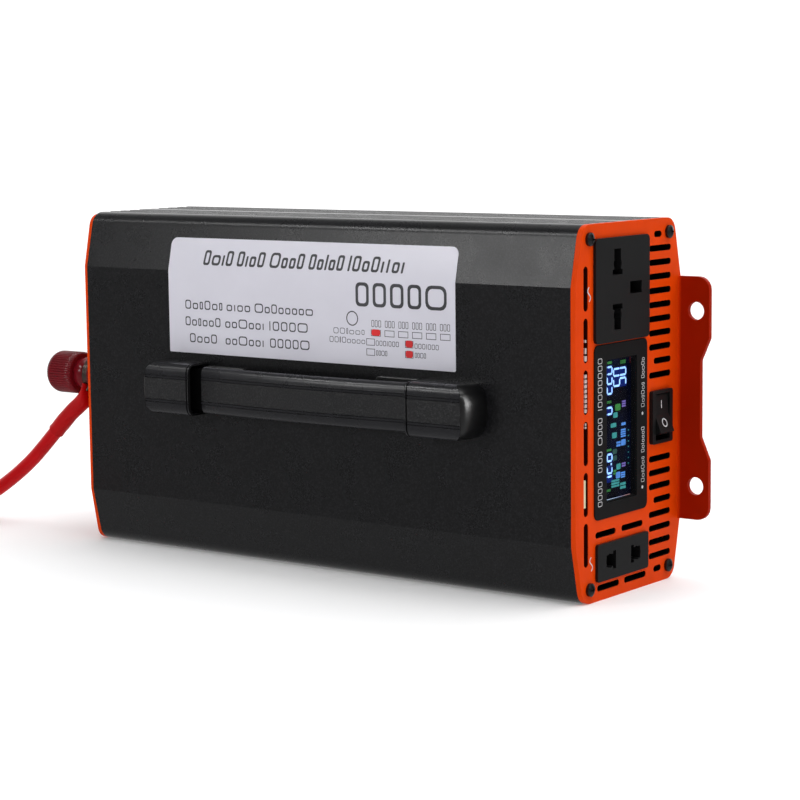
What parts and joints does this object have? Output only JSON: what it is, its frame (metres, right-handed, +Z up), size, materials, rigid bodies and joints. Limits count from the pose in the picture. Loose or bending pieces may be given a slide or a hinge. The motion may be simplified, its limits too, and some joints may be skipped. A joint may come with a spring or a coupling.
{
  "type": "power inverter",
  "caption": "Power inverter with orange vented end panels, mounting ears, a lit display, outlets, a rocker switch, a strap handle and screw terminals with a battery cable.",
  "frame": {"origin": "centre of the narrow face that the casing stands on", "axes": "+X along the casing towards the mains outlets, +Y towards the side with the mounting ears, +Z up"},
  "size_m": [0.3948, 0.138, 0.14],
  "materials": {
    "casing_black": "satin anodised black with a fine grain",
    "panel_orange": "satin powder coat",
    "screw_black": "black zinc",
    "steel": "nickel plated",
    "brass": "plain",
    "copper": "bare copper",
    "handle_black": "soft grained PVC with glossy edges",
    "label_film": "satin printed film",
    "display_black": "satin printed film",
    "display_glass": "clear, lit from behind",
    "board_green": "solder mask",
    "switch_black": "fine texture",
    "outlet_black": "fine texture",
    "knob_maroon": "moulded, ribbed",
    "knob_black": "moulded, ribbed",
    "cable_red": "smooth PVC",
    "sleeve_red": "heat-shrink tube",
    "fan_black": "moulded",
    "aluminium": "extruded",
    "chip_black": "moulded epoxy",
    "ferrite": "sintered",
    "tape_yellow": "polyester tape",
    "capacitor_sleeve": "shrunk sleeve",
    "core_paint": "epoxy coat",
    "fuse_orange": "clear tinted",
    "print_dark": "ink on the label",
    "print_red": "filled check boxes on the label",
    "print_white": "signs on the display film and rocker",
    "display_light": "lit display segments"
  },
  "bodies": {
    "housing": {"front_shell": "casing_black", "back_shell": "casing_black", "ac_end_panel": "panel_orange", "dc_end_panel": "panel_orange", "ac_panel_screws": "screw_black", "dc_panel_screws": "screw_black", "handle_end_left": "handle_black", "handle_end_right": "handle_black", "handle_screws": "steel", "rating_label": "label_film", "display_overlay": "display_black", "lcd_glass": "display_glass", "lcd_module": "board_green", "switch_housing": "switch_black", "switch_tabs": "brass", "main_outlet_body": "outlet_black", "main_outlet_contacts": "brass", "small_outlet_body": "outlet_black", "small_outlet_contacts": "brass", "red_terminal_base": "knob_maroon", "red_terminal_stud": "brass", "black_terminal_base": "knob_black", "black_terminal_stud": "brass", "terminal_nuts": "steel", "bus_straps": "copper", "red_cable_lug": "steel", "red_cable_sleeve": "sleeve_red", "red_cable_lead": "cable_red", "red_cable_coil": "cable_red", "red_cable_tail": "cable_red", "far_cable_sleeve": "sleeve_red", "far_cable_lug": "steel", "fan_frame_upper": "fan_black", "fan_frame_lower": "fan_black", "fan_guards": "steel", "fan_screws": "screw_black", "main_board": "board_green", "board_standoffs": "brass", "board_screws": "steel", "heat_sink_bars": "aluminium", "power_transistors": "chip_black", "transformer_cores": "ferrite", "transformer_windings": "tape_yellow", "input_capacitors": "capacitor_sleeve", "bus_capacitors": "capacitor_sleeve", "output_choke_core": "core_paint", "output_choke_winding": "copper", "blade_fuses": "fuse_orange", "control_board": "board_green", "wiring_loom": "cable_red"},
    "switch_rocker": {"switch_rocker": "switch_black"},
    "fan_rotor_upper": {"fan_rotor_upper": "fan_black"},
    "fan_rotor_lower": {"fan_rotor_lower": "fan_black"},
    "red_washer": {"red_terminal_washer": "steel"},
    "red_knob": {"red_terminal_knob": "knob_maroon"},
    "black_washer": {"black_terminal_washer": "steel"},
    "black_knob": {"black_terminal_knob": "knob_black"},
    "handle_grip": {"handle_grip": "handle_black"},
    "strap_end_left": {"strap_end_left": "handle_black"},
    "strap_end_right": {"strap_end_right": "handle_black"}
  },
  "joints": [
    {"name": "switch_rocker_tilt", "type": "hinge", "parent": "housing", "child": "switch_rocker", "pos_m": [0.1195, 0.0218, 0.0644], "axis": [0, 1, 0], "range_deg": [0, 24]},
    {"name": "fan_upper_spin", "type": "hinge", "parent": "housing", "child": "fan_rotor_upper", "pos_m": [-0.112, 0, 0.112], "axis": [-1, 0, 0], "continuous": true},
    {"name": "fan_lower_spin", "type": "hinge", "parent": "housing", "child": "fan_rotor_lower", "pos_m": [-0.112, 0, 0.028], "axis": [-1, 0, 0], "continuous": true},
    {"name": "red_washer_slide", "type": "slide", "parent": "housing", "child": "red_washer", "axis": [-1, 0, 0], "range_m": [0, 0.00752]},
    {"name": "red_knob_turn", "type": "hinge", "parent": "red_washer", "child": "red_knob", "pos_m": [-0.145, -0.02, 0.0692], "axis": [-1, 0, 0], "range_deg": [0, 2160]},
    {"name": "black_washer_slide", "type": "slide", "parent": "housing", "child": "black_washer", "axis": [-1, 0, 0], "range_m": [0, 0.00752]},
    {"name": "black_knob_turn", "type": "hinge", "parent": "black_washer", "child": "black_knob", "pos_m": [-0.145, 0.01, 0.0692], "axis": [-1, 0, 0], "range_deg": [0, 2160]},
    {"name": "handle_lift", "type": "slide", "parent": "housing", "child": "handle_grip", "axis": [0, -1, 0], "range_m": [0, 0.018], "stiffness_N_per_m": 600},
    {"name": "strap_left_slide", "type": "slide", "parent": "handle_grip", "child": "strap_end_left", "axis": [0.2169, 0.9762, 0], "range_m": [0, 0.01845]},
    {"name": "strap_right_slide", "type": "slide", "parent": "handle_grip", "child": "strap_end_right", "axis": [-0.2169, 0.9762, 0], "range_m": [0, 0.01845]}
  ],
  "couplings": [
    {"joint": "red_washer_slide", "follows": "red_knob_turn", "m_per_rad": 0.00019894},
    {"joint": "black_washer_slide", "follows": "black_knob_turn", "m_per_rad": 0.00019894},
    {"joint": "strap_left_slide", "follows": "handle_lift", "ratio": 1.0244},
    {"joint": "strap_right_slide", "follows": "handle_lift", "ratio": 1.0244}
  ]
}
